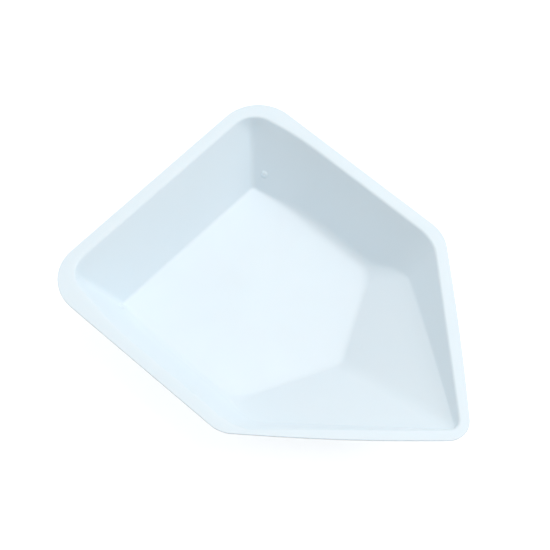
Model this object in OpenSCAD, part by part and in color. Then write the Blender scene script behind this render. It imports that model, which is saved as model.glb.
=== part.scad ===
// Weighing boat with a pouring spout, thermoformed in one piece from thin plastic sheet.
// A flat five-sided floor, leaning walls, two ramps that meet in a shallow valley and rise to
// the spout, and a flat flange all round. The well opens upwards, and +X points to the spout.

/* [Flange] */
// Width over the flange, across the two parallel sides
rim_width = 80; // [60:0.5:100]
// Length over the flange, from the back edge to the rounded end of the spout
rim_length = 106.5; // [88:0.5:130]
// Length of a parallel side, from the back edge to the sharp corner it makes with the spout
side_length = 65.5; // [55:0.5:75]
// Width of the flat flange along the back and the sides
flange_width = 3.3; // [2:0.1:6]
// Width of the flat flange along the two slanting edges of the spout
spout_flange_width = 2.9; // [2:0.1:5]
// Outer radius of the two back corners
back_corner_r = 11.5; // [6:0.5:16]
// Outer radius of the two shoulders, where the sides turn in towards the spout
shoulder_r = 10; // [5:0.5:24]
// Outer radius of the end of the spout
tip_r = 5.5; // [3:0.1:10]

/* [Well] */
// Height from the underside of the floor to the top of the flange
height = 15.5; // [10:0.5:18]
// Thickness of the sheet
sheet_t = 0.5; // [0.3:0.05:1]
// Lean of the back wall from upright, in degrees
back_draft = 34.5; // [15:0.5:40]
// Lean of the side walls and the spout walls from upright, in degrees
side_draft = 35; // [15:1:40]
// Inner radius of the tight fold between the floor and the back wall
back_fold_r = 1.6; // [0.5:0.1:3]
// Inner radius of the broad fold between the floor and the side walls
side_fold_r = 6; // [3:0.5:9]
// Radius of the well where the sides turn in towards the spout
turn_r = 13; // [8:0.5:20]
// How fast the back corners close up below the flange, in radius lost for each mm of lean
corner_taper = 1.8; // [1:0.1:2]
// Radius that turns a wall out into the flange, on the underside of the sheet
lip_r = 0.6; // [0.4:0.1:1.5]

/* [Spout] */
// Distance from the back edge to where a ramp leaves the floor at the side wall
ramp_start = 54; // [45:0.5:58]
// Distance from the back edge to the point of the floor, where the two ramps meet
floor_point = 67; // [60:0.5:72]
// Depth of the end of the ramps below the flange, at the end of the spout
spout_depth = 1.5; // [0.8:0.1:4]
// Width of the flange at the end of the spout, which sets the inner radius there
tip_flange_width = 3; // [1.8:0.1:4]
// How fast the well's corner at the end of the spout closes up, in radius lost for each mm down
spout_taper = 1.2; // [0:0.1:2]
// Inner radius of the fold between the floor and a ramp
ramp_fold_r = 9; // [3:0.5:15]
// Width of the soft edge between a ramp and the walls, down at the floor
ramp_blend = 5; // [1:0.5:6]
// Width of the soft edge between a ramp and the walls, up at the end of the spout
tip_blend = 0.8; // [0.3:0.1:1.5]
// Width of the soft bottom of the valley between the ramps
valley_blend = 2; // [0.5:0.5:4]

/* [Stacking lugs] */
// Radius of a lug at its foot
lug_r = 1.1; // [0.7:0.1:1.5]
// Height that a lug stands off the wall
lug_h = 0.4; // [0.2:0.05:0.6]
// Height of a lug above the floor, near the back of each side wall
lug_rise = 2; // [1.8:0.1:6]
// Distance from the back wall to a lug
lug_from_back = 3.2; // [2.5:0.1:8]

/* [Hidden] */
floor_z = sheet_t;
depth = height - floor_z;
half_w = rim_width / 2;
back_x = -rim_length / 2;
lip_top_r = lip_r + sheet_t;
lip_centre_z = height - lip_top_r;
far = 1000;

// Steps round each corner and along each edge of the flange, from the right shoulder to the
// back, and steps up each face of the sheet: below and above the upper edge of a ramp, or the
// middle of the fold where there is no ramp, and round the lip
corner_steps = [10, 12, 10, 12, 12];
edge_steps = [14, 14, 10, 8, 10];
lower_steps = 9;
upper_steps = 7;
lip_steps = 4;

function unit(v) = v / norm(v);
function next(list, i) = list[(i + 1) % len(list)];
function previous(list, i) = list[(i + len(list) - 1) % len(list)];
function reversed(list) = [for (i = [len(list) - 1:-1:0]) list[i]];

// ---- Flange outline. A slanting edge is the tangent from the sharp shoulder to the tip's arc,
// and point is how far a sharp tip stands from a circle of radius 1 inside it.
shoulder_to_tip = [rim_length - tip_r - side_length, half_w];
spout_angle = atan2(half_w, shoulder_to_tip[0]) - asin(tip_r / norm(shoulder_to_tip));
sharp_tip_x = back_x + side_length + half_w / tan(spout_angle);
point = 1 / sin(spout_angle);
least_spout_r = 0.5;
spout_r = max(
    least_spout_r,
    tip_r - (spout_flange_width * point - tip_flange_width) / (point - 1)
);
flange_corners = [
    [back_x + side_length, -half_w],
    [sharp_tip_x, 0],
    [back_x + side_length, half_w],
    [back_x, half_w],
    [back_x, -half_w]
];
corner_radii = [shoulder_r, tip_r, shoulder_r, back_corner_r, back_corner_r];

// Arc that turns a corner of radius r from direction u to direction v, to the left
function corner_arc(corner, u, v, r, steps) =
    let (
        turn = acos(u * v),
        left = [-u[1], u[0]],
        centre = corner - r * tan(turn / 2) * u + r * left
    )
    [for (k = [0:steps]) let (a = turn * k / steps) centre + r * (sin(a) * u - cos(a) * left)];

flange_arcs = [
    for (i = [0:len(flange_corners) - 1])
        let (
            corner = flange_corners[i],
            arriving = unit(corner - previous(flange_corners, i)),
            leaving = unit(next(flange_corners, i) - corner)
        )
        corner_arc(corner, arriving, leaving, corner_radii[i], corner_steps[i])
];

// Points between two ends, both ends left out
function between(a, b, steps) = [for (k = [1:steps - 1]) a + (b - a) * k / steps];

outline = [
    for (i = [0:len(flange_arcs) - 1])
        let (arc = flange_arcs[i], start = next(flange_arcs, i)[0])
        each concat(arc, between(arc[len(arc) - 1], start, edge_steps[i]))
];

// ---- Walls of the well. They are measured from a hub on the floor. Each is its plan normal,
// away from the hub, its distance from the hub at the floor, its lean and its fold radius.
function crease_under(rim, draft) = rim - depth * tan(draft);

back_crease = flange_width + depth * tan(back_draft);
hub = [back_x + (back_crease + floor_point) / 2, 0];
back_wall = [[-1, 0], hub[0] - back_x - back_crease, back_draft, back_fold_r];
side_wall = [[0, 1], crease_under(half_w - flange_width, side_draft), side_draft, side_fold_r];
spout_normal = [sin(spout_angle), cos(spout_angle)];
spout_rim = (sharp_tip_x - hub[0]) * spout_normal[0] - spout_flange_width;
spout_wall = [spout_normal, crease_under(spout_rim, side_draft), side_draft, side_fold_r];

// A ramp rises from its crease with the floor to its end on the spout walls.
ramp_foot = [back_x + floor_point, 0];
ramp_side = [back_x + ramp_start, side_wall[1]];
ramp_normal = unit([ramp_side[1], ramp_foot[0] - ramp_side[0]]);
ramp_crease = (ramp_foot - hub) * ramp_normal;
ramp_rise = depth - spout_depth;
spout_end = (spout_wall[1] + ramp_rise * tan(side_draft)) / spout_normal[0];
ramp_draft = atan2(spout_end * ramp_normal[0] - ramp_crease, ramp_rise);
ramp = [ramp_normal, ramp_crease, ramp_draft, ramp_fold_r];

// Distance from the hub to a wall at height z. Skin is how far the surface lies outside the
// inner face: 0 for the inner face and sheet_t for the outer one.
function stand_off(wall, z, skin) =
    let (
        crease = wall[1],
        draft = wall[2],
        turn_in = (1 - sin(draft)) / cos(draft),
        fold_r = wall[3] + skin,
        fold_drop = floor_z + wall[3] - z,
        lip_bend_r = lip_top_r - skin,
        lip_rise = z - lip_centre_z
    )
    fold_drop > fold_r * sin(draft)
        ? crease - wall[3] * turn_in + sqrt(max(0, fold_r ^ 2 - fold_drop ^ 2))
    : lip_rise > lip_bend_r * sin(draft)
        ? crease + depth * tan(draft) + lip_top_r * turn_in
            - sqrt(max(0, lip_bend_r ^ 2 - lip_rise ^ 2))
    : crease + (z - floor_z) * tan(draft) + skin / cos(draft);

// Distance from the hub to a wall along a ray
function reach(wall, z, skin, ray) =
    let (facing = wall[0] * ray)
    facing > 0.02 ? stand_off(wall, z, skin) / facing : far;

// The lesser of two lengths, eased from one to the other where they are nearly equal
function eased_min(a, b, width) = min(a, b) - max(0, width - abs(a - b)) ^ 2 / (4 * width);

// Easing width that rounds a corner of the plan to a given radius
function rounding(r, turn) = 4 * r * (1 / cos(turn / 2) - 1);
function by_height(z, at_floor, at_rim) = at_floor + (at_rim - at_floor) * (z - floor_z) / depth;
function other_side(ray) = [ray[0], -ray[1]];
function near_side(ray) = [ray[0], abs(ray[1])];

// Radius of a back corner: wide at the flange, then closing up like a cone to a tight fold
function corner_r(z) =
    let (
        lost = corner_taper * tan(back_draft) * (height - z),
        cone_r = back_corner_r - flange_width - lost
    )
    -eased_min(-back_fold_r, -cone_r, back_fold_r);

// Radius of the well at the end of the spout: rounded at the flange, then closing up
function spout_corner_r(z) = max(least_spout_r, spout_r - spout_taper * (height - z));

// Distance along a ray to the walls together, and to the two ramps together. The well is the
// same on both sides, so near is a ray turned to the side y > 0.
function walls_reach(z, skin, near) =
    let (
        spout = eased_min(
            reach(spout_wall, z, skin, near),
            reach(spout_wall, z, skin, other_side(near)),
            rounding(spout_corner_r(z) + skin, 180 - 2 * spout_angle)
        ),
        turn = rounding(turn_r + skin, spout_angle),
        sides = eased_min(reach(side_wall, z, skin, near), spout, turn)
    )
    eased_min(reach(back_wall, z, skin, near), sides, rounding(corner_r(z) + skin, 90));

function ramps_reach(z, skin, near) =
    eased_min(
        reach(ramp, z, skin, near),
        reach(ramp, z, skin, other_side(near)),
        valley_blend
    );

// Point of the well's surface at height z, along a ray
function well_point(z, skin, ray) =
    let (
        near = near_side(ray),
        edge = by_height(z, ramp_blend, tip_blend),
        distance = eased_min(walls_reach(z, skin, near), ramps_reach(z, skin, near), edge)
    )
    [each hub + distance * ray, z];

// Height between low and high at which the ramps run into the walls, found by halving
function ramp_top(low, high, skin, near, halvings = 12) =
    let (middle = (low + high) / 2)
    halvings == 0 ? middle
    : ramps_reach(middle, skin, near) < walls_reach(middle, skin, near)
        ? ramp_top(middle, high, skin, near, halvings - 1)
        : ramp_top(low, middle, skin, near, halvings - 1);

// Heights of the points up one face of the sheet, on one ray. One of them is at the upper edge
// of the ramp, so that the edge runs along the mesh.
function heights(skin, ray) =
    let (
        low = floor_z - skin,
        high = height - skin,
        fold = (side_fold_r + skin) * (1 - sin(side_draft)),
        lip = lip_centre_z + (lip_top_r - skin) * sin(min(side_draft, back_draft)),
        edge = ramp_top(low + fold / 2, lip - (lip - low) / 10, skin, near_side(ray))
    )
    [
        for (k = [0:lower_steps - 1]) low + (edge - low) * (k / lower_steps) ^ 2,
        for (k = [0:upper_steps - 1]) edge + (lip - edge) * (1 - cos(90 * k / upper_steps)),
        for (k = [0:lip_steps]) lip + (high - lip) * sin(90 * k / lip_steps)
    ];

function well_face(skin, ray) = [for (z = heights(skin, ray)) well_point(z, skin, ray)];

// ---- The sheet, as one column of points for each point of the flange outline: up the outer
// face, over the cut edge of the flange and down the inner face. Two poles close the floor.
columns = [
    for (p = outline)
        let (ray = unit(p - hub))
        concat(
            well_face(sheet_t, ray),
            [[each p, height - sheet_t], [each p, height]],
            reversed(well_face(0, ray))
        )
];

// Two triangles between four points, split from a to c or from b to d
function split(a, b, c, d, a_to_c) = a_to_c ? [[a, b, c], [a, c, d]] : [[a, b, d], [b, c, d]];

// Each split runs up towards the spout, as the upper edges of the ramps do.
module sheet() {
    n = len(columns);
    m = len(columns[0]);
    under = n * m;
    over = under + 1;
    polyhedron(
        points = [for (column = columns) each column, [each hub, 0], [each hub, floor_z]],
        faces = [
            for (i = [0:n - 1])
                let (
                    a = i * m,
                    b = (i + 1) % n * m,
                    left = outline[i][1] + next(outline, i)[1] > 0
                )
                each [
                    [under, a, b],
                    [over, b + m - 1, a + m - 1],
                    for (k = [0:m - 2])
                        let (inside = k > m / 2)
                        each split(a + k, a + k + 1, b + k + 1, b + k, left == inside)
                ]
        ]
    );
}

// ---- Stacking lugs, pressed in low on the side walls to keep nested boats apart. Elevation
// is how far the inner face looks up from level at that height, in the fold or on the wall.
lug_z = floor_z + lug_rise;
lug_elevation = max(side_draft, asin(max(0, 1 - lug_rise / side_fold_r)));
lug_place = [
    hub[0] - stand_off(back_wall, lug_z, 0) + lug_from_back,
    stand_off(side_wall, lug_z, 0),
    lug_z
];

// A cone that stands on a point sunk below the inner face of the wall, with +Z into the well
module at_lug(sunk) {
    for (side = [0, 1])
        mirror([0, side, 0])
            translate(lug_place)
                rotate([90 - lug_elevation, 0, 0])
                    translate([0, 0, -sunk])
                        children();
}

module lug_outside() {
    at_lug(sheet_t / 2)
        cylinder(h = sheet_t / 2 + lug_h, r1 = lug_r, r2 = lug_r - lug_h, $fn = 32);
}

module lug_hollow() {
    at_lug(2 * sheet_t)
        cylinder(h = sheet_t + lug_h, r1 = lug_r - lug_h, r2 = (lug_r - lug_h) / 2, $fn = 32);
}

module boat() {
    color("white")
        difference() {
            union() {
                sheet();
                lug_outside();
            }
            lug_hollow();
        }
}

boat();
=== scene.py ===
"""Looks of a thermoformed weighing boat with a pouring spout.

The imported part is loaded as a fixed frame, and the boat is modelled round it again as one fine
skin of sheet plastic. A ring of points at the flange's cut edge is drawn down ring by ring over
the lip, the leaning walls, the ramps and their folds to the floor. The skin is given the thickness
of the sheet, and then two stacking lugs are pressed into it. All lengths are in metres, the spout
points along +X, and the underside of the floor lies at Z = 0.
"""

import logging
import math
from dataclasses import dataclass, field
from enum import Enum
from typing import ClassVar

import bmesh
import bpy
from mathutils import Matrix, Vector


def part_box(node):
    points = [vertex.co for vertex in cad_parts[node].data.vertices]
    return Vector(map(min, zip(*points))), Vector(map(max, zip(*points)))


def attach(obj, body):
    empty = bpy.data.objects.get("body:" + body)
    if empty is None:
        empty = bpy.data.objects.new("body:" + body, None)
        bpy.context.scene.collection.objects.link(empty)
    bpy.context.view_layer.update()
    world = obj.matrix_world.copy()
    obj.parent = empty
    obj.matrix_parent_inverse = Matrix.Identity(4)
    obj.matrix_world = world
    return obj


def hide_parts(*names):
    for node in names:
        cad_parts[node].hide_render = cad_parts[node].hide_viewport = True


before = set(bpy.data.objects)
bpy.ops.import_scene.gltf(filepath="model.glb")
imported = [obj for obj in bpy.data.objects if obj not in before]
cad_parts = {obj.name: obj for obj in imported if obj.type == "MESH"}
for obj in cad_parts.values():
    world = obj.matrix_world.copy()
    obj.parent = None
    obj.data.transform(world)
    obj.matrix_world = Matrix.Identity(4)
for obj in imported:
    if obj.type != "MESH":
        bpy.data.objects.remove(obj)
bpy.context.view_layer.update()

LOG = logging.getLogger("weighing_boat")
MM = 0.001
RIGHT_ANGLE = math.pi / 2
WHITE = (1, 1, 1, 1)

# What eased_min takes off where its two lengths are equal, as a share of its width.
EASED_OFF = 1 / 4


def active_object(name: str) -> bpy.types.Object:
    """Name the object that an operator has just made.

    Args:
        name: The object's new name, which its mesh, lamp or camera takes as well.

    Returns:
        The object.
    """
    made = bpy.context.object
    made.name = name
    made.data.name = name
    return made


def select_only(thing: bpy.types.Object) -> None:
    """Make one object the active one and the only one selected.

    Args:
        thing: The object.
    """
    bpy.ops.object.select_all(action="DESELECT")
    thing.select_set(True)
    bpy.context.view_layer.objects.active = thing


def apply_modifier(thing: bpy.types.Object, kind: str, **settings: object) -> None:
    """Add a modifier to an object and apply it.

    Args:
        thing: The object.
        kind: The modifier's type, such as SOLIDIFY.
        **settings: The modifier's own settings.
    """
    select_only(thing)
    modifier = thing.modifiers.new(kind.title(), kind)
    for key, value in settings.items():
        setattr(modifier, key, value)
    bpy.ops.object.modifier_apply(modifier=modifier.name)


def eased_min(first: float, second: float, width: float) -> float:
    """Take the lesser of two lengths, eased from one to the other where they are nearly equal."""
    return min(first, second) - EASED_OFF * max(0.0, width - abs(first - second)) ** 2 / width


def eased_max(first: float, second: float, width: float) -> float:
    """Take the greater of two lengths, eased as eased_min does."""
    return -eased_min(-first, -second, width)


def rounding(radius: float, turn: float) -> float:
    """Work out the easing width that rounds a corner.

    Args:
        radius: The radius wanted in plan.
        turn: The angle that the corner turns through, in radians.

    Returns:
        The width to give eased_min.
    """
    return radius * (1 / math.cos(turn / 2) - 1) / EASED_OFF


class Side(Enum):
    """The two sides of the boat, seen from its back, each with the sign of its Y."""

    LEFT = 1
    RIGHT = -1


@dataclass(frozen=True)
class Shoulder:
    """Sizes of one shoulder of the flange, where a long side turns towards the tip.

    Attributes:
        radius: Radius of the rounded shoulder.
        drift: How far the shoulder is cut behind its place on an even outline.
        bow: How far the edge between the shoulder and the tip bows out.
    """

    radius: float
    drift: float
    bow: float


@dataclass(frozen=True)
class BackCorner:
    """Sizes of one back corner of the well, which are not quite the same on both sides.

    Attributes:
        inset: How far the foot of the side wall is turned in at the corner.
        draft: Angle of the turned stretch of the wall from upright.
        lug_rise: Height of the lug above the floor.
        lug_from_back: Distance of the lug from the back wall.
        lug_height: How far the lug stands out of the wall.
    """

    inset: float
    draft: float
    lug_rise: float
    lug_from_back: float
    lug_height: float


@dataclass(frozen=True)
class Sizes:
    """Sizes of the boat. Length, width and height come from the frame's box.

    Attributes:
        length: Length over the flange.
        width: Width over the flange.
        height: Height from the underside of the floor to the top of the flange.
        side_length: Distance from the back edge to the shoulders of an even outline.
        flange: Width of the flange along the back and the sides.
        spout_flange: Width of the flange along the edges of the spout.
        tip_flange: Width of the flange at the tip.
        back_corner_radius: Radius of the flange's back corners.
        tip_radius: Radius of the flange's tip.
        tip_drift: How far the tip is cut to the right of the middle.
        left_shoulder: Sizes of the left shoulder.
        right_shoulder: Sizes of the right shoulder.
        sheet: Thickness of the sheet.
        edge_ease: How much is taken off the corners of the cut edge.
        back_draft: Angle of the back wall from upright.
        side_draft: Angle of the side walls and of the spout's walls from upright.
        back_fold: Radius of the fold between the floor and the back wall.
        side_fold: Radius of the fold between the floor and the other walls.
        turn_radius: Radius in plan of the turn from a side wall to the spout's wall.
        left_corner: Sizes of the well's left back corner.
        right_corner: Sizes of the well's right back corner.
        corner_turn: Angle by which a side wall is turned in beside the back wall.
        corner_fold: Radius of the fold between the floor and that turned stretch.
        corner_blend: Width over which the turned stretch eases into the rest of the wall.
        corner_crease: Least radius of a back corner, low down in the well.
        corner_taper: How quickly the radius of a back corner shrinks below the flange.
        well_corner_radius: Radius of a back corner at the flange's inner edge.
        lip_radius: Radius that turns the walls out into the flange.
        ramp_start: Distance from the back edge to the foot of a ramp at the side wall.
        floor_point: Distance from the back edge to the point of the floor between the ramps.
        spout_depth: How far below the flange the ramps end.
        spout_taper: How quickly the end of the spout closes up below the flange.
        least_spout_radius: Least radius of the end of the spout.
        ramp_fold: Radius of the fold between the floor and a ramp.
        ramp_crown: How far a ramp swells towards the hub half way up, measured in plan.
        ramp_blend: Width over which a ramp eases into the walls at the floor.
        tip_blend: Width over which a ramp eases into the walls at the flange.
        valley_blend: Width over which the two ramps ease into each other.
        lug_top_radius: Radius of the top of a lug.
        lug_foot_radius: Radius of the foot of a lug.
    """

    length: float
    width: float
    height: float
    side_length: float = 65.5 * MM
    flange: float = 3.4 * MM
    spout_flange: float = 2.75 * MM
    tip_flange: float = 2.8 * MM
    back_corner_radius: float = 11.5 * MM
    tip_radius: float = 5.5 * MM
    tip_drift: float = 0.35 * MM
    left_shoulder: Shoulder = Shoulder(radius=11 * MM, drift=-0.6 * MM, bow=0.35 * MM)
    right_shoulder: Shoulder = Shoulder(radius=8.5 * MM, drift=2.3 * MM, bow=0.6 * MM)
    sheet: float = 0.5 * MM
    edge_ease: float = 0.06 * MM
    back_draft: float = math.radians(34.5)
    side_draft: float = math.radians(34)
    back_fold: float = 1.6 * MM
    side_fold: float = 6 * MM
    turn_radius: float = 13 * MM
    left_corner: BackCorner = BackCorner(
        inset=2.5 * MM,
        draft=math.radians(38),
        lug_rise=3.8 * MM,
        lug_from_back=3.75 * MM,
        lug_height=0.3 * MM,
    )
    right_corner: BackCorner = BackCorner(
        inset=1.4 * MM,
        draft=math.radians(33.5),
        lug_rise=2.2 * MM,
        lug_from_back=2.9 * MM,
        lug_height=0.45 * MM,
    )
    corner_turn: float = math.radians(9)
    corner_fold: float = 2 * MM
    corner_blend: float = 1.2 * MM
    corner_crease: float = 0.8 * MM
    corner_taper: float = 1.8
    well_corner_radius: float = 5.4 * MM
    lip_radius: float = 0.9 * MM
    ramp_start: float = 54 * MM
    floor_point: float = 67 * MM
    spout_depth: float = 1.7 * MM
    spout_taper: float = 1.2
    least_spout_radius: float = 0.5 * MM
    ramp_fold: float = 9 * MM
    ramp_crown: float = 2.4 * MM
    ramp_blend: float = 5 * MM
    tip_blend: float = 0.8 * MM
    valley_blend: float = 2 * MM
    lug_top_radius: float = 0.45 * MM
    lug_foot_radius: float = 1.15 * MM

    @property
    def depth(self) -> float:
        """Depth of the well from the flange's top to the floor."""
        return self.height - self.sheet

    @property
    def back(self) -> float:
        """Place of the flange's back edge along X."""
        return -self.length / 2

    def corner(self, side: Side) -> BackCorner:
        """Give the sizes of one back corner."""
        return self.left_corner if side is Side.LEFT else self.right_corner


@dataclass(frozen=True)
class FlangeCorner:
    """One corner of the flange's cut edge.

    Attributes:
        place: The sharp corner, before it is rounded.
        radius: Radius that rounds it.
        bow: How far the edge that leaves it bows out.
    """

    place: Vector
    radius: float
    bow: float = 0.0


class Outline:
    """The cut edge of the flange: five corners, each rounded, with points all the way round.

    The trimming is not quite even: the right shoulder is cut further back than the left one and
    with a tighter corner, the tip is a little to the right, and the spout's edges bow out.
    """

    def __init__(self, sizes: Sizes) -> None:
        """Work out the corners.

        Args:
            sizes: Sizes of the boat.
        """
        # The edges of the spout run from the shoulders to the arc of the tip, which ends the boat.
        half = sizes.width / 2
        run = sizes.length - sizes.tip_radius - sizes.side_length
        self.spout_angle = math.atan2(half, run) - math.asin(sizes.tip_radius / math.hypot(run, half))
        shoulder = sizes.back + sizes.side_length
        self.sharp_tip = shoulder + half / math.tan(self.spout_angle)
        left, right = sizes.left_shoulder, sizes.right_shoulder
        self.corners = [
            FlangeCorner(Vector((shoulder - right.drift, -half)), right.radius, right.bow),
            FlangeCorner(Vector((self.sharp_tip, -sizes.tip_drift)), sizes.tip_radius, left.bow),
            FlangeCorner(Vector((shoulder - left.drift, half)), left.radius),
            FlangeCorner(Vector((sizes.back, half)), sizes.back_corner_radius),
            FlangeCorner(Vector((sizes.back, -half)), sizes.back_corner_radius),
        ]

    def _arc(self, index: int, steps: int) -> list[Vector]:
        """Round one corner.

        Args:
            index: Place of the corner in the list of corners.
            steps: Number of steps along the arc.

        Returns:
            The points of the arc, both ends among them.
        """
        corner = self.corners[index]
        after = self.corners[(index + 1) % len(self.corners)]
        arriving = (corner.place - self.corners[index - 1].place).normalized()
        leaving = (after.place - corner.place).normalized()
        turn = arriving.angle(leaving)
        inward = Vector((-arriving.y, arriving.x))
        centre = corner.place - corner.radius * math.tan(turn / 2) * arriving + corner.radius * inward
        angles = [turn * step / steps for step in range(steps + 1)]
        return [centre + corner.radius * (math.sin(a) * arriving - math.cos(a) * inward) for a in angles]

    def points(self, corner_steps: int, edge_steps: int) -> list[Vector]:
        """List the points round the flange.

        Args:
            corner_steps: Steps round each corner.
            edge_steps: Steps along each edge between two corners.

        Returns:
            The points in order, anticlockwise seen from above.
        """
        arcs = [self._arc(index, corner_steps) for index in range(len(self.corners))]
        points = []
        for corner, arc, next_arc in zip(self.corners, arcs, arcs[1:] + arcs[:1]):
            start, end = arc[-1], next_arc[0]
            along = (end - start).normalized()
            bow = corner.bow * Vector((along.y, -along.x))
            points.extend(arc)
            for step in range(1, edge_steps):
                part = step / edge_steps
                points.append(start.lerp(end, part) + math.sin(math.pi * part) * bow)
        return points


@dataclass(frozen=True)
class LeaningFace:
    """A wall or a ramp of the well, which leans outwards from the hub of the floor.

    Attributes:
        FOLD_POWER: How slowly the fold leaves the floor before it turns up into the face.
        normal: Unit direction in plan from the hub towards the face.
        crease: Distance from the hub to the face at the level of the floor.
        draft: Angle of the face from upright.
        fold: Radius of the arc that is as wide as the fold between the floor and the face.
    """

    FOLD_POWER: ClassVar[int] = 4

    normal: Vector
    crease: float
    draft: float
    fold: float

    def stand_off(self, rise: float, depth: float, lip: float) -> float:
        """Work out how far the face stands from the hub.

        Args:
            rise: Height above the floor.
            depth: Depth of the well.
            lip: Radius that turns the face out into the flange.

        Returns:
            The distance, with the fold at the foot and the lip at the top counted in.
        """
        turn_in = (1 - math.sin(self.draft)) / math.cos(self.draft)
        fold_width = self.fold * math.cos(self.draft)
        fold_top = fold_width / (self.FOLD_POWER * math.tan(self.draft))
        above_lip = rise - (depth - lip)
        if rise < fold_top:
            still_to_go = fold_width * (1 - (rise / fold_top) ** (1 / self.FOLD_POWER))
            return self.crease + fold_top * math.tan(self.draft) - still_to_go
        if above_lip > lip * math.sin(self.draft):
            arc = math.sqrt(max(0.0, lip**2 - above_lip**2))
            return self.crease + depth * math.tan(self.draft) + lip * turn_in - arc
        return self.crease + rise * math.tan(self.draft)


class Well:
    """The inner face of the boat, measured along rays from a hub in the middle of the floor.

    A ray is a unit direction in plan. The faces are those of the left half, and a ray on the right
    is turned to the left to be measured.

    Attributes:
        FAR: Distance given for a face that a ray doesn't meet.
        LEAST_FACING: Least part of a ray that has to go towards a face for the two to meet.
        HALVINGS: How often a range of heights is halved to find the upper edge of the ramps.
        BLEND_POWER: How quickly the easing of the ramps into the walls tightens above the floor.
    """

    FAR = 1.0
    LEAST_FACING = 0.02
    HALVINGS = 16
    BLEND_POWER = 4

    def __init__(self, sizes: Sizes, outline: Outline) -> None:
        """Work out the walls and the ramps.

        Args:
            sizes: Sizes of the boat.
            outline: Outline of the flange.
        """
        self.sizes = sizes
        self.spout_angle = outline.spout_angle
        # The hub lies half way between the foot of the back wall and the point of the floor.
        back_crease = sizes.flange + sizes.depth * math.tan(sizes.back_draft)
        self.hub = Vector((sizes.back + (back_crease + sizes.floor_point) / 2, 0.0))
        back_rim = self.hub.x - sizes.back - sizes.flange
        self.back = self._wall(Vector((-1.0, 0.0)), back_rim, sizes.back_draft, sizes.back_fold)
        side_rim = sizes.width / 2 - sizes.flange
        self.side = self._wall(Vector((0.0, 1.0)), side_rim, sizes.side_draft, sizes.side_fold)
        spout_normal = Vector((math.sin(self.spout_angle), math.cos(self.spout_angle)))
        spout_rim = (outline.sharp_tip - self.hub.x) * spout_normal.x - sizes.spout_flange
        self.spout = self._wall(spout_normal, spout_rim, sizes.side_draft, sizes.side_fold)
        self.corners = {side: self._corner(sizes.corner(side)) for side in Side}
        self.ramp = self._ramp()
        # The flange's inner edge is rounded at the tip so that tip_flange is left in front of it.
        sharpness = 1 / math.sin(self.spout_angle)
        less = (sizes.spout_flange * sharpness - sizes.tip_flange) / (sharpness - 1)
        self.rim_tip_radius = sizes.tip_radius - less

    def _wall(self, normal: Vector, rim: float, draft: float, fold: float) -> LeaningFace:
        """Make a wall that ends at the inner edge of the flange, at a given distance from the hub."""
        return LeaningFace(normal, rim - self.sizes.depth * math.tan(draft), draft, fold)

    def _corner(self, corner: BackCorner) -> LeaningFace:
        """Make the stretch of a side wall beside the back corner, which is turned in a little.

        Args:
            corner: Sizes of the corner.

        Returns:
            The face, turned to the left side.
        """
        sizes = self.sizes
        turned = Vector((-math.sin(sizes.corner_turn), math.cos(sizes.corner_turn)))
        foot = Vector((-self.back.crease, self.side.crease - corner.inset))
        return LeaningFace(turned, foot.dot(turned), corner.draft, sizes.corner_fold)

    def _ramp(self) -> LeaningFace:
        """Make the left ramp, which rises from its crease with the floor to the end of the spout.

        Returns:
            The ramp, without its swelling.
        """
        sizes = self.sizes
        foot = Vector((sizes.back + sizes.floor_point, 0.0))
        side = Vector((sizes.back + sizes.ramp_start, self.side.crease))
        normal = Vector((side.y, foot.x - side.x)).normalized()
        crease = (foot - self.hub).dot(normal)
        rise = sizes.depth - sizes.spout_depth
        end = (self.spout.crease + rise * math.tan(sizes.side_draft)) / self.spout.normal.x
        return LeaningFace(normal, crease, math.atan2(end * normal.x - crease, rise), sizes.ramp_fold)

    def stand_off(self, face: LeaningFace, rise: float) -> float:
        """Work out how far a face stands from the hub at a height above the floor."""
        return face.stand_off(rise, self.sizes.depth, self.sizes.lip_radius)

    def _reach(self, face: LeaningFace, rise: float, ray: Vector) -> float:
        """Measure along a ray to a face.

        Args:
            face: The face.
            rise: Height above the floor.
            ray: The ray.

        Returns:
            The distance from the hub.
        """
        facing = face.normal.dot(ray)
        if facing < self.LEAST_FACING:
            return self.FAR
        return self.stand_off(face, rise) / facing

    @staticmethod
    def _both_ways(ray: Vector) -> tuple[Vector, Vector]:
        """Give a ray turned to the left side, and the same ray turned to the right side."""
        return Vector((ray.x, abs(ray.y))), Vector((ray.x, -abs(ray.y)))

    def _corner_radius(self, rise: float) -> float:
        """Work out the radius of a back corner: a cone below the flange, then a tight fold.

        Args:
            rise: Height above the floor.

        Returns:
            The radius in plan.
        """
        sizes = self.sizes
        lost = sizes.corner_taper * math.tan(sizes.back_draft) * (sizes.depth - rise)
        return eased_max(sizes.corner_crease, sizes.well_corner_radius - lost, sizes.corner_crease)

    def _spout_radius(self, rise: float) -> float:
        """Work out the radius of the end of the spout, which closes up below the flange."""
        closed = self.rim_tip_radius - self.sizes.spout_taper * (self.sizes.depth - rise)
        return max(self.sizes.least_spout_radius, closed)

    def walls_reach(self, rise: float, ray: Vector) -> float:
        """Measure along a ray to the walls together.

        Args:
            rise: Height above the floor.
            ray: The ray.

        Returns:
            The distance from the hub.
        """
        sizes = self.sizes
        side = Side.LEFT if ray.y > 0 else Side.RIGHT
        near, far = self._both_ways(ray)
        spout = eased_min(
            self._reach(self.spout, rise, near),
            self._reach(self.spout, rise, far),
            rounding(self._spout_radius(rise), math.pi - 2 * self.spout_angle),
        )
        beside_back = self._reach(self.corners[side], rise, near)
        straight = eased_min(self._reach(self.side, rise, near), beside_back, sizes.corner_blend)
        sides = eased_min(straight, spout, rounding(sizes.turn_radius, self.spout_angle))
        corner = rounding(self._corner_radius(rise), RIGHT_ANGLE)
        return eased_min(self._reach(self.back, rise, near), sides, corner)

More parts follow.
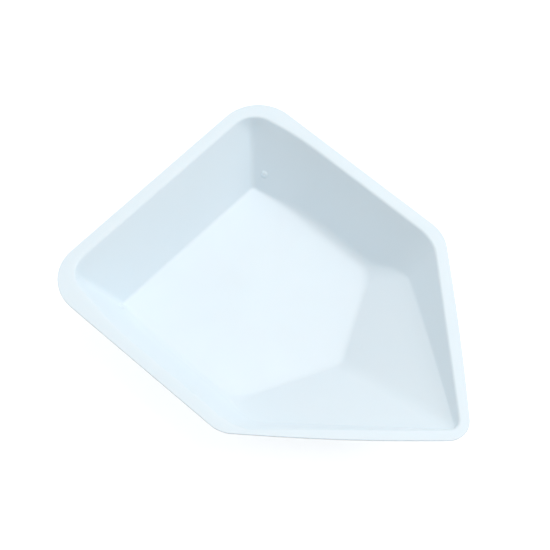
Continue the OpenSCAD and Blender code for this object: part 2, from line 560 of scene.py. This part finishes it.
    def _crown(self, rise: float, ray: Vector) -> float:
        """Work out how far a ramp swells towards the hub between its foot and its end.

        Args:
            rise: Height above the floor.
            ray: The ray along which the swelling is measured.

        Returns:
            The distance that the swelling takes off the ray.
        """
        part = min(1.0, rise / (self.sizes.depth - self.sizes.spout_depth))
        swelling = self.sizes.ramp_crown * (1 - (2 * part - 1) ** 2)
        return swelling / max(self.LEAST_FACING, self.ramp.normal.dot(ray))

    def ramps_reach(self, rise: float, ray: Vector) -> float:
        """Measure along a ray to the two ramps together.

        Args:
            rise: Height above the floor.
            ray: The ray.

        Returns:
            The distance from the hub.
        """
        left, right = (
            self._reach(self.ramp, rise, way) - self._crown(rise, way) for way in self._both_ways(ray)
        )
        return eased_min(left, right, self.sizes.valley_blend)

    def _ramp_blend(self, rise: float) -> float:
        """Work out the width over which the ramps ease into the walls, at a height."""
        low, high = self.sizes.ramp_blend, self.sizes.tip_blend
        return high + (low - high) * (1 - rise / self.sizes.depth) ** self.BLEND_POWER

    def point(self, rise: float, ray: Vector) -> Vector:
        """Find the point of the inner face on a ray.

        Args:
            rise: Height above the floor.
            ray: The ray.

        Returns:
            The point.
        """
        walls, ramps = self.walls_reach(rise, ray), self.ramps_reach(rise, ray)
        place = self.hub + eased_min(walls, ramps, self._ramp_blend(rise)) * ray
        return Vector((place.x, place.y, self.sizes.sheet + rise))

    def ramp_top(self, low: float, high: float, ray: Vector) -> float:
        """Find the height at which the ramps run into the walls, by halving a range.

        Args:
            low: Lowest height to give.
            high: Highest height to give.
            ray: The ray on which to look.

        Returns:
            The height above the floor.
        """
        for _ in range(self.HALVINGS):
            middle = (low + high) / 2
            if self.ramps_reach(middle, ray) < self.walls_reach(middle, ray):
                low = middle
            else:
                high = middle
        return (low + high) / 2

    def lug_place(self, side: Side) -> tuple[Vector, Vector]:
        """Find where a stacking lug stands, on the turned stretch of a side wall.

        Args:
            side: Which side wall.

        Returns:
            The middle of its foot, and the direction square to the wall that points into the well.
        """
        corner = self.sizes.corner(side)
        wall = self.corners[side]
        along = corner.lug_from_back - self.stand_off(self.back, corner.lug_rise)
        out = (self.stand_off(wall, corner.lug_rise) - along * wall.normal.x) / wall.normal.y
        foot = self.point(corner.lug_rise, Vector((along, side.value * out)).normalized())
        level = math.cos(wall.draft)
        across = side.value * wall.normal.y
        return foot, Vector((-wall.normal.x * level, -across * level, math.sin(wall.draft)))


class Wiring:
    """The nodes of a material or of the world, and the links between them."""

    def __init__(self, owner: bpy.types.Material | bpy.types.World) -> None:
        """Switch the nodes on.

        Args:
            owner: The material or the world.
        """
        owner.use_nodes = True
        self.nodes = owner.node_tree.nodes
        self.links = owner.node_tree.links

    def set_values(self, node: bpy.types.Node, values: dict[str | int, object]) -> bpy.types.Node:
        """Set the values of some of a node's sockets.

        Args:
            node: The node.
            values: A value for each socket, by its name or its number.

        Returns:
            The same node.
        """
        for socket, value in values.items():
            node.inputs[socket].default_value = value
        return node

    def add(
        self, kind: str, values: dict[str | int, object] | None = None, **settings: str
    ) -> bpy.types.Node:
        """Add a node.

        Args:
            kind: The node's type.
            values: A value for each socket that keeps one, by its name or its number.
            **settings: The node's own settings, made before the values.

        Returns:
            The new node.
        """
        node = self.nodes.new(kind)
        for key, value in settings.items():
            setattr(node, key, value)
        return self.set_values(node, values or {})

    def link(self, source: bpy.types.NodeSocket, target: bpy.types.NodeSocket) -> None:
        """Lead an output to an input."""
        self.links.new(source, target)

    def seen(self) -> bpy.types.NodeSocket:
        """Tell the rays that show a surface as it is from those that only light others.

        Returns:
            A socket that is 1 for camera, glossy and transmission rays, and 0 for the rest.
        """
        path = self.add("ShaderNodeLightPath")
        either = path.outputs["Is Camera Ray"]
        for name in ("Is Glossy Ray", "Is Transmission Ray"):
            greater = self.add("ShaderNodeMath", operation="MAXIMUM")
            self.link(either, greater.inputs[0])
            self.link(path.outputs[name], greater.inputs[1])
            either = greater.outputs[0]
        return either


@dataclass(frozen=True)
class Noise:
    """A noise that follows the object.

    Attributes:
        scale: Number of blotches in a metre.
        detail: Octaves of finer noise.
    """

    scale: float
    detail: float

    def add_to(self, wiring: Wiring, place: bpy.types.NodeSocket) -> bpy.types.NodeSocket:
        """Add the noise to a material.

        Args:
            wiring: The material's nodes.
            place: The socket that gives the coordinates.

        Returns:
            The socket of the noise's value.
        """
        noise = wiring.add("ShaderNodeTexNoise", {"Scale": self.scale, "Detail": self.detail})
        wiring.link(place, noise.inputs["Vector"])
        return noise.outputs["Fac"]


@dataclass(frozen=True)
class Polystyrene:
    """Finish of smooth white polystyrene sheet, a little translucent and a little glossy.

    Attributes:
        name: Name of the material.
        thick_tint: Colour where the sheet is a little thicker.
        thin_tint: Colour where the sheet is a little thinner.
        tint_drift: How the colour drifts from one to the other.
        roughness: Least and greatest roughness.
        roughness_patches: How the roughness changes over the sheet.
        ior: Index of refraction.
        specular: Strength of the gloss.
        glow: How much light goes into the sheet.
        glow_depth: How far that light spreads in the sheet.
        glow_tint: How far it spreads for red, green and blue, as shares of glow_depth.
        waves: Broad unevenness left by the forming.
        wave_strength: Strength of the waves.
        grain: Fine grain of the sheet.
        grain_strength: Strength of the grain.
        relief: Height of the waves and of the grain.
    """

    name: str = "polystyrene_sheet"
    thick_tint: tuple[float, float, float] = (0.802, 0.902, 0.974)
    thin_tint: tuple[float, float, float] = (0.772, 0.877, 0.955)
    tint_drift: Noise = Noise(scale=38, detail=2)
    roughness: tuple[float, float] = (0.30, 0.42)
    roughness_patches: Noise = Noise(scale=120, detail=4)
    ior: float = 1.55
    specular: float = 0.35
    glow: float = 0.25
    glow_depth: float = 0.8 * MM
    glow_tint: tuple[float, float, float] = (0.8, 0.95, 1.0)
    waves: Noise = Noise(scale=90, detail=1)
    wave_strength: float = 0.12
    grain: Noise = Noise(scale=1500, detail=2)
    grain_strength: float = 0.05
    relief: float = 0.1 * MM

    def material(self) -> bpy.types.Material:
        """Build the node material.

        Returns:
            The material, which reads Object coordinates.
        """
        material = bpy.data.materials.new(self.name)
        wiring = Wiring(material)
        shader = wiring.nodes["Principled BSDF"]
        constants = {
            "IOR": self.ior,
            "Specular IOR Level": self.specular,
            "Subsurface Weight": self.glow,
            "Subsurface Radius": self.glow_tint,
            "Subsurface Scale": self.glow_depth,
        }
        wiring.set_values(shader, constants)
        place = wiring.add("ShaderNodeTexCoord").outputs["Object"]

        ends = {"A": (*self.thin_tint, 1), "B": (*self.thick_tint, 1)}
        tint = wiring.add("ShaderNodeMix", ends, data_type="RGBA")
        wiring.link(self.tint_drift.add_to(wiring, place), tint.inputs["Factor"])
        wiring.link(tint.outputs["Result"], shader.inputs["Base Color"])

        smoothest, roughest = self.roughness
        spread = wiring.add("ShaderNodeMapRange", {"To Min": smoothest, "To Max": roughest})
        wiring.link(self.roughness_patches.add_to(wiring, place), spread.inputs["Value"])
        wiring.link(spread.outputs["Result"], shader.inputs["Roughness"])

        waves = self._bump(wiring, self.waves.add_to(wiring, place), self.wave_strength)
        grain = self._bump(wiring, self.grain.add_to(wiring, place), self.grain_strength)
        wiring.link(waves.outputs["Normal"], grain.inputs["Normal"])
        wiring.link(grain.outputs["Normal"], shader.inputs["Normal"])
        return material

    def _bump(self, wiring: Wiring, height: bpy.types.NodeSocket, strength: float) -> bpy.types.Node:
        """Add a bump.

        Args:
            wiring: The material's nodes.
            height: The socket that gives the height.
            strength: Strength of the bump.

        Returns:
            The bump's node.
        """
        bump = wiring.add("ShaderNodeBump", {"Strength": strength, "Distance": self.relief})
        wiring.link(height, bump.inputs["Height"])
        return bump


@dataclass
class BoatShell:
    """The boat: one formed sheet of even thickness.

    Attributes:
        sizes: Sizes of the boat.
        finish: Finish of the sheet.
        corner_steps: Steps round each corner of the flange.
        edge_steps: Steps along each straight edge of the flange.
        lower_steps: Steps from the floor to the upper edge of the ramps.
        upper_steps: Steps from there to the foot of the lip.
        lip_steps: Steps over the lip.
        lowest_edge: Least height of the ramps' upper edge, as a share of the height of a fold.
        highest_edge: Greatest height of that edge, as a share of the height of the lip's foot.
        flange_stops: Places of the rings on the flange, as shares from the lip to the cut edge.
        floor_stops: Places of the rings on the floor, as shares from its middle to its edge.
        lug_patch: Radius of the finer mesh round a lug, as a multiple of the lug's foot.
        lug_cuts: How often each edge of that mesh is cut.
        bevel_angle: Angle past which an edge is eased.
        smooth_angle: Angle up to which two faces are shaded as one.
        outline: Outline of the flange.
        well: Inner face of the boat.
    """

    sizes: Sizes
    finish: Polystyrene
    corner_steps: int = 28
    edge_steps: int = 34
    lower_steps: int = 20
    upper_steps: int = 18
    lip_steps: int = 8
    lowest_edge: float = 0.5
    highest_edge: float = 0.9
    flange_stops: tuple[float, ...] = (0.94, 0.5)
    floor_stops: tuple[float, ...] = (0.9, 0.6, 0.3)
    lug_patch: float = 2.2
    lug_cuts: int = 9
    bevel_angle: float = math.radians(60)
    smooth_angle: float = math.radians(50)
    outline: Outline = field(init=False)
    well: Well = field(init=False)

    def __post_init__(self) -> None:
        """Work out the outline and the well from the sizes."""
        self.outline = Outline(self.sizes)
        self.well = Well(self.sizes, self.outline)

    def build(self) -> bpy.types.Object:
        """Model the boat and dress it.

        Returns:
            The finished piece.
        """
        shell = self._draw_down()
        self._thicken(shell)
        for side in Side:
            self._press_lug(shell, side)
        select_only(shell)
        bpy.ops.object.shade_smooth_by_angle(angle=self.smooth_angle)
        shell.data.materials.append(self.finish.material())
        return shell

    def _rises(self, ray: Vector) -> list[float]:
        """List the heights of the points up one ray.

        One of them is the upper edge of the ramps, so that the edge runs along the mesh.

        Args:
            ray: The ray from the hub.

        Returns:
            The heights above the floor, from the flange down to the floor.
        """
        sizes = self.sizes
        fold = sizes.side_fold * (1 - math.sin(sizes.side_draft))
        lip = sizes.depth - sizes.lip_radius * (1 - math.sin(sizes.back_draft))
        edge = self.well.ramp_top(fold * self.lowest_edge, lip * self.highest_edge, ray)
        lower = [
            edge * (step / self.lower_steps) ** LeaningFace.FOLD_POWER for step in range(self.lower_steps)
        ]
        upper = [
            edge + (lip - edge) * (1 - math.cos(RIGHT_ANGLE * step / self.upper_steps))
            for step in range(self.upper_steps)
        ]
        top = [
            lip + (sizes.depth - lip) * math.sin(RIGHT_ANGLE * step / self.lip_steps)
            for step in range(self.lip_steps + 1)
        ]
        return list(reversed(lower + upper + top))

    def _rings(self) -> list[list[Vector]]:
        """Work out the rings of points from the flange's cut edge to the middle of the floor.

        Returns:
            The rings, each with one point for every column of the mesh.
        """
        hub = self.well.hub
        middle = Vector((hub.x, hub.y, self.sizes.sheet))
        columns = []
        for point in self.outline.points(self.corner_steps, self.edge_steps):
            ray = (point - hub).normalized()
            face = [self.well.point(rise, ray) for rise in self._rises(ray)]
            edge = Vector((point.x, point.y, self.sizes.height))
            flange = [face[0].lerp(edge, stop) for stop in self.flange_stops]
            floor = [middle.lerp(face[-1], stop) for stop in self.floor_stops]
            columns.append([edge, *flange, *face, *floor])
        return [list(ring) for ring in zip(*columns)]

    def _draw_down(self) -> bpy.types.Object:
        """Draw the inner face down from the cut edge, one extruded ring at a time.

        Returns:
            The inner face, closed at the middle of the floor.
        """
        rings = self._rings()
        bpy.ops.object.select_all(action="DESELECT")
        bpy.ops.mesh.primitive_circle_add(
            vertices=len(rings[0]), radius=self.sizes.width / 2, fill_type="NOTHING"
        )
        shell = active_object("boat_sheet")
        bpy.ops.object.mode_set(mode="EDIT")
        bpy.ops.mesh.select_all(action="SELECT")
        self._number_columns(shell)
        self._place(shell, rings[0])
        for ring in rings[1:]:
            bpy.ops.mesh.extrude_edges_move()
            self._place(shell, ring)
        bpy.ops.mesh.extrude_edges_move()
        bpy.ops.mesh.merge(type="CENTER")
        bpy.ops.mesh.select_all(action="SELECT")
        bpy.ops.mesh.normals_make_consistent(inside=False)
        bpy.ops.object.mode_set(mode="OBJECT")
        self._face_up(shell)
        return shell

    @staticmethod
    def _number_columns(shell: bpy.types.Object) -> None:
        """Number the points of the first ring. The points extruded from them keep the numbers.

        Args:
            shell: The object, in edit mode.
        """
        mesh = bmesh.from_edit_mesh(shell.data)
        column = mesh.verts.layers.int.new("column")
        mesh.verts.ensure_lookup_table()
        for vert in mesh.verts:
            vert[column] = vert.index
        bmesh.update_edit_mesh(shell.data)

    @staticmethod
    def _place(shell: bpy.types.Object, ring: list[Vector]) -> None:
        """Put the selected points where their columns say.

        Args:
            shell: The object, in edit mode.
            ring: A place for each column.
        """
        mesh = bmesh.from_edit_mesh(shell.data)
        column = mesh.verts.layers.int["column"]
        for vert in mesh.verts:
            if vert.select:
                vert.co = ring[vert[column]]
        bmesh.update_edit_mesh(shell.data)

    @staticmethod
    def _face_up(shell: bpy.types.Object) -> None:
        """Turn the inner face's normals up into the well, if they point down.

        Args:
            shell: The inner face.
        """
        lowest = min(shell.data.polygons, key=lambda face: face.center.z)
        if lowest.normal.z > 0:
            return
        select_only(shell)
        bpy.ops.object.mode_set(mode="EDIT")
        bpy.ops.mesh.select_all(action="SELECT")
        bpy.ops.mesh.flip_normals()
        bpy.ops.object.mode_set(mode="OBJECT")

    def _thicken(self, shell: bpy.types.Object) -> None:
        """Give the sheet its thickness and ease its cut edge.

        Args:
            shell: The inner face.
        """
        apply_modifier(
            shell,
            "SOLIDIFY",
            thickness=self.sizes.sheet,
            offset=-1.0,
            use_even_offset=True,
            use_quality_normals=True,
        )
        apply_modifier(
            shell,
            "BEVEL",
            width=self.sizes.edge_ease,
            segments=2,
            limit_method="ANGLE",
            angle_limit=self.bevel_angle,
        )

    def _press_lug(self, shell: bpy.types.Object, side: Side) -> None:
        """Press one stacking lug into the well from outside, low on a side wall near the back.

        Args:
            shell: The sheet.
            side: Which side wall.
        """
        sizes = self.sizes
        foot, inward = self.well.lug_place(side)
        select_only(shell)
        bpy.ops.object.mode_set(mode="EDIT")
        bpy.ops.mesh.select_mode(type="FACE")
        self._select_near(shell, [foot], self.lug_patch * sizes.lug_foot_radius)
        bpy.ops.mesh.subdivide(number_cuts=self.lug_cuts)
        bpy.ops.mesh.select_mode(type="VERT")
        self._select_near(shell, [foot, foot - sizes.sheet * inward], sizes.lug_top_radius)
        bpy.ops.transform.translate(
            value=inward * sizes.corner(side).lug_height,
            use_proportional_edit=True,
            proportional_edit_falloff="SMOOTH",
            proportional_size=sizes.lug_foot_radius - sizes.lug_top_radius,
        )
        bpy.ops.object.mode_set(mode="OBJECT")

    @staticmethod
    def _select_near(shell: bpy.types.Object, centres: list[Vector], radius: float) -> None:
        """Select the points or faces within a radius of any of a few places.

        Args:
            shell: The object, in edit mode.
            centres: The places.
            radius: How far away a point may be, or the nearest corner of a face.
        """
        bpy.ops.mesh.select_all(action="DESELECT")
        mesh = bmesh.from_edit_mesh(shell.data)
        near = {vert for vert in mesh.verts if min((vert.co - place).length for place in centres) < radius}
        if "FACE" in mesh.select_mode:
            for face in mesh.faces:
                face.select_set(any(vert in near for vert in face.verts))
        else:
            for vert in near:
                vert.select_set(True)
        mesh.select_flush_mode()
        bmesh.update_edit_mesh(shell.data)


@dataclass(frozen=True)
class Camera:
    """The camera, placed by where it stands and the way it looks.

    Attributes:
        place: Where it stands.
        ahead: The way it looks.
        down: The way that is down in the picture.
        focal_pixels: Focal length in pixels of the picture.
        picture_pixels: Width of the picture in pixels.
        sensor_mm: Width of the sensor.
        nearest: Distance from which the camera sees.
        farthest: Distance up to which it sees.
    """

    place: tuple[float, float, float] = (0.165589, -0.187706, 0.447232)
    ahead: tuple[float, float, float] = (-0.3499728, 0.3758075, -0.8580721)
    down: tuple[float, float, float] = (0.5843806, -0.6283209, -0.5135292)
    focal_pixels: float = 2000.2
    picture_pixels: float = 550
    sensor_mm: float = 36
    nearest: float = 0.01
    farthest: float = 20.0

    def build(self) -> None:
        """Add the camera and make it the scene's."""
        bpy.ops.object.camera_add(location=self.place)
        camera = active_object("camera")
        back = -Vector(self.ahead).normalized()
        up = -Vector(self.down).normalized()
        right = up.cross(back)
        turn = Matrix((right, up, back)).transposed()
        camera.rotation_euler = turn.to_euler()
        camera.data.sensor_width = self.sensor_mm
        camera.data.lens = self.sensor_mm * self.focal_pixels / self.picture_pixels
        camera.data.clip_start = self.nearest
        camera.data.clip_end = self.farthest
        bpy.context.scene.camera = camera


@dataclass(frozen=True)
class SoftLamp:
    """A large round lamp with soft edges, which faces the boat.

    Attributes:
        name: Its name.
        power: Its power, in watts.
        azimuth: The way from the boat to the lamp, in degrees from +X towards +Y.
        elevation: Its height above the floor, in degrees.
        distance: How far it is from the boat.
        width: Its width.
    """

    name: str
    power: float
    azimuth: float
    elevation: float
    distance: float = 3.0
    width: float = 1.8

    def build(self) -> None:
        """Hang the lamp."""
        around = math.radians(self.azimuth)
        up = math.radians(self.elevation)
        way = Vector((math.cos(up) * math.cos(around), math.cos(up) * math.sin(around), math.sin(up)))
        bpy.ops.object.light_add(type="AREA", location=way * self.distance)
        lamp = active_object(self.name)
        lamp.data.shape = "DISK"
        lamp.data.size = self.width
        lamp.data.energy = self.power
        lamp.rotation_euler = way.to_track_quat("Z", "Y").to_euler()


@dataclass(frozen=True)
class Studio:
    """A plain pale floor under soft light, mostly from above and from the boat's left.

    Attributes:
        lamps: The soft lamps.
        sky: Strength of the light from all round.
        floor_size: Length of the floor's sides.
        floor_white: How white the floor is.
        floor_roughness: How rough the floor is.
        floor_lift: What is added to the floor where the camera sees it.
    """

    lamps: tuple[SoftLamp, ...] = (
        SoftLamp("key_lamp", power=34.8, azimuth=110, elevation=65, width=2.1),
        SoftLamp("front_lamp", power=19.5, azimuth=45, elevation=40),
        SoftLamp("back_lamp", power=3.6, azimuth=180, elevation=15),
        SoftLamp("side_lamp", power=2.5, azimuth=280, elevation=40),
    )
    sky: float = 0.48
    floor_size: float = 8.0
    floor_white: float = 0.82
    floor_roughness: float = 0.9
    floor_lift: float = 0.6

    def build(self) -> None:
        """Build the floor, the lamps and the sky."""
        self._floor()
        for lamp in self.lamps:
            lamp.build()
        self._sky()
        bpy.context.scene.view_settings.view_transform = "Standard"

    def _floor(self) -> None:
        """Lay a wide floor, which is lifted to white where it is seen and keeps the shadow."""
        bpy.ops.object.select_all(action="DESELECT")
        bpy.ops.mesh.primitive_plane_add(size=self.floor_size)
        floor = active_object("floor")
        material = bpy.data.materials.new("studio_floor")
        wiring = Wiring(material)
        shader = wiring.nodes["Principled BSDF"]
        constants = {
            "Base Color": (self.floor_white, self.floor_white, self.floor_white, 1),
            "Roughness": self.floor_roughness,
            "Emission Color": WHITE,
        }
        wiring.set_values(shader, constants)
        lift = wiring.add("ShaderNodeMath", {1: self.floor_lift}, operation="MULTIPLY")
        wiring.link(wiring.seen(), lift.inputs[0])
        wiring.link(lift.outputs[0], shader.inputs["Emission Strength"])
        floor.data.materials.append(material)

    def _sky(self) -> None:
        """Make the sky white where it is seen, and softer as a light."""
        world = bpy.data.worlds.new("studio_sky")
        bpy.context.scene.world = world
        wiring = Wiring(world)
        background = wiring.set_values(wiring.nodes["Background"], {"Color": WHITE})
        strength = wiring.add("ShaderNodeMapRange", {"To Min": self.sky, "To Max": 1.0})
        wiring.link(wiring.seen(), strength.inputs["Value"])
        wiring.link(strength.outputs["Result"], background.inputs["Strength"])


def main() -> None:
    """Build the boat, the studio and the camera."""
    logging.basicConfig(level=logging.INFO, format="%(message)s")
    low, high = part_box("boat")
    extent = high - low
    sizes = Sizes(length=extent.x, width=extent.y, height=extent.z)
    boat = BoatShell(sizes, Polystyrene()).build()
    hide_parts("boat")
    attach(boat, "root")
    LOG.info("%s: %d faces", boat.name, len(boat.data.polygons))
    Studio().build()
    Camera().build()


if __name__ == "__main__":
    main()
